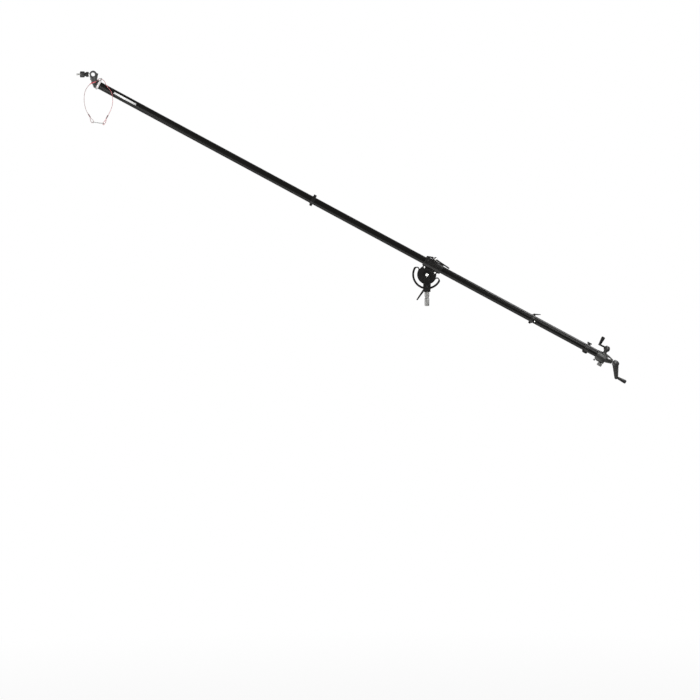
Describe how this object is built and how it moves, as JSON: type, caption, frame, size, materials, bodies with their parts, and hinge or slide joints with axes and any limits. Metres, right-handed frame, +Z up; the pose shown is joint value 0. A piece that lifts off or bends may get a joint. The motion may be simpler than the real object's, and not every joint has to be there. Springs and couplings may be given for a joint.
{
  "type": "overhead boom arm",
  "caption": "Long tubular overhead boom in a tilting clamp saddle on a slotted quadrant fork, with a crank-driven pan and tilt head at one end.",
  "frame": {"origin": "middle of the seat under the fork bracket, at the top of the stand spigot", "axes": "+Z up, +X towards the cranks at the rear end of the boom, -Y towards the side the picture shows"},
  "size_m": [3.3518, 0.089, 1.9146],
  "materials": {
    "anodised_black": "black anodised, satin",
    "cast_black": "black powder coat on a casting",
    "bright_zinc": "bright zinc plate",
    "black_steel": "blackened steel",
    "steel": "turned steel",
    "brass_bush": "turned brass",
    "white_nylon": "white nylon",
    "black_plastic": "moulded black plastic",
    "grey_plastic": "moulded grey plastic",
    "red_coating": "red plastic coated wire"
  },
  "bodies": {
    "bracket": {"stand_spigot": "bright_zinc", "fork_bracket": "cast_black", "pivot_bolt": "bright_zinc", "pivot_nut": "bright_zinc", "friction_washer_front": "brass_bush", "friction_washer_rear": "brass_bush", "lock_bolt": "black_steel", "slot_bush": "brass_bush"},
    "lock_lever": {"tilt_lock_lever": "cast_black"},
    "saddle": {"quadrant_plate": "cast_black", "saddle_body": "cast_black", "saddle_cap": "cast_black", "saddle_liner_lower": "black_plastic", "saddle_liner_upper": "black_plastic", "saddle_bolt_front": "bright_zinc", "saddle_bolt_rear": "bright_zinc", "cap_screw_front": "black_steel", "cap_screw_rear": "black_steel", "cam_pin": "bright_zinc", "lever_catch": "cast_black", "pressure_pad": "steel"},
    "clamp_lever": {"cam_lever": "cast_black"},
    "boom": {"front_tube": "anodised_black", "main_tube": "anodised_black", "rear_tube": "anodised_black", "front_joint_sleeve": "steel", "rear_joint_sleeve": "steel", "front_joint_collar": "cast_black", "rear_joint_collar": "cast_black", "end_collar": "cast_black", "gearbox_housing": "cast_black", "gearbox_nose": "cast_black", "nose_bearing": "brass_bush", "head_bearing": "white_nylon", "roll_tube_bearing": "white_nylon"},
    "front_knob": {"front_joint_knob": "black_plastic"},
    "joint_lever": {"rear_joint_lever": "cast_black"},
    "end_knob": {"end_collar_knob": "black_plastic"},
    "drag_knob": {"brake_knob": "grey_plastic"},
    "head": {"head_neck": "cast_black", "head_ring": "white_nylon", "cable_eye": "black_steel", "roll_tube": "steel", "roll_gear": "brass_bush", "safety_cable": "red_coating", "cable_crimp_left": "red_coating", "cable_crimp_right": "red_coating", "snap_hook": "bright_zinc"},
    "hook_gate": {"snap_hook_gate": "bright_zinc"},
    "tilt_crank": {"tilt_shaft": "steel", "tilt_crank_arm": "cast_black"},
    "tilt_grip": {"tilt_crank_grip": "black_plastic"},
    "worm": {"worm_shaft": "steel"},
    "tilt_head": {"tilt_hub": "cast_black", "head_stud": "bright_zinc", "stud_collar": "black_plastic"},
    "mounting_nut": {"stud_nut": "black_steel"},
    "pan_crank": {"pan_crank_shaft": "steel", "pan_crank_arm": "cast_black"},
    "pan_grip": {"pan_crank_grip": "black_plastic"}
  },
  "joints": [
    {"name": "boom_tilt", "type": "hinge", "parent": "bracket", "child": "saddle", "pos_m": [0, 0, 0.104], "axis": [0, 1, 0], "range_deg": [-113.4, 56.6]},
    {"name": "lock_lever_turn", "type": "hinge", "parent": "bracket", "child": "lock_lever", "pos_m": [0, 0, 0.0335], "axis": [0, 1, 0], "range_deg": [-60, 45]},
    {"name": "clamp_lever_open", "type": "hinge", "parent": "saddle", "child": "clamp_lever", "pos_m": [0.05137, 0, 0.199], "axis": [0, 1, 0], "range_deg": [-100, 0]},
    {"name": "boom_slide", "type": "slide", "parent": "saddle", "child": "boom", "axis": [0.8796, 0, -0.4756], "range_m": [-0.56, 0.74]},
    {"name": "front_knob_turn", "type": "hinge", "parent": "boom", "child": "front_knob", "pos_m": [-0.69601, 0, 0.55763], "axis": [0.4756, 0, 0.8796], "continuous": true},
    {"name": "joint_lever_open", "type": "hinge", "parent": "boom", "child": "joint_lever", "pos_m": [0.65485, 0, -0.13981], "axis": [0, 1, 0], "range_deg": [-110, 0]},
    {"name": "end_knob_turn", "type": "hinge", "parent": "boom", "child": "end_knob", "pos_m": [0.97621, 0, -0.34653], "axis": [0.4756, 0, 0.8796], "continuous": true},
    {"name": "drag_knob_turn", "type": "hinge", "parent": "boom", "child": "drag_knob", "pos_m": [1.07736, 0, -0.40122], "axis": [0.4756, 0, 0.8796], "continuous": true},
    {"name": "head_roll", "type": "hinge", "parent": "boom", "child": "head", "pos_m": [0.03234, 0, 0.16382], "axis": [0.8796, 0, -0.4756], "range_deg": [-90, 90]},
    {"name": "pan_crank_turn", "type": "hinge", "parent": "boom", "child": "pan_crank", "pos_m": [1.07209, 0, -0.39837], "axis": [0.4756, 0, 0.8796], "range_deg": [-90, 90]},
    {"name": "pan_grip_spin", "type": "hinge", "parent": "pan_crank", "child": "pan_grip", "pos_m": [1.05435, -0.031, -0.31829], "axis": [0.4756, 0, 0.8796], "continuous": true},
    {"name": "tilt_crank_turn", "type": "hinge", "parent": "head", "child": "tilt_crank", "pos_m": [0.03234, 0, 0.16382], "axis": [0.8796, 0, -0.4756], "range_deg": [-2090, 660]},
    {"name": "tilt_grip_spin", "type": "hinge", "parent": "tilt_crank", "child": "tilt_grip", "pos_m": [1.16488, 0.03254, -0.53163], "axis": [0.8796, 0, -0.4756], "continuous": true},
    {"name": "worm_turn", "type": "hinge", "parent": "head", "child": "worm", "pos_m": [-2.02956, 0, 1.27868], "axis": [0.4756, 0, 0.8796], "range_deg": [-660, 2090]},
    {"name": "head_tilt", "type": "hinge", "parent": "head", "child": "tilt_head", "pos_m": [-2.03164, 0, 1.32528], "axis": [0, 1, 0], "range_deg": [-30, 95]},
    {"name": "mounting_nut_turn", "type": "hinge", "parent": "tilt_head", "child": "mounting_nut", "pos_m": [-2.03164, 0, 1.32528], "axis": [1, 0, 0], "continuous": true},
    {"name": "hook_gate_open", "type": "hinge", "parent": "head", "child": "hook_gate", "pos_m": [-2.01128, -0.032, 1.0331], "axis": [0.1429, 0, 0.9897], "range_deg": [0, 15], "stiffness_Nm_per_rad": 0.02}
  ],
  "couplings": [
    {"joint": "pan_crank_turn", "follows": "head_roll", "ratio": 1},
    {"joint": "worm_turn", "follows": "tilt_crank_turn", "ratio": -1},
    {"joint": "head_tilt", "follows": "tilt_crank_turn", "ratio": -0.045455}
  ]
}
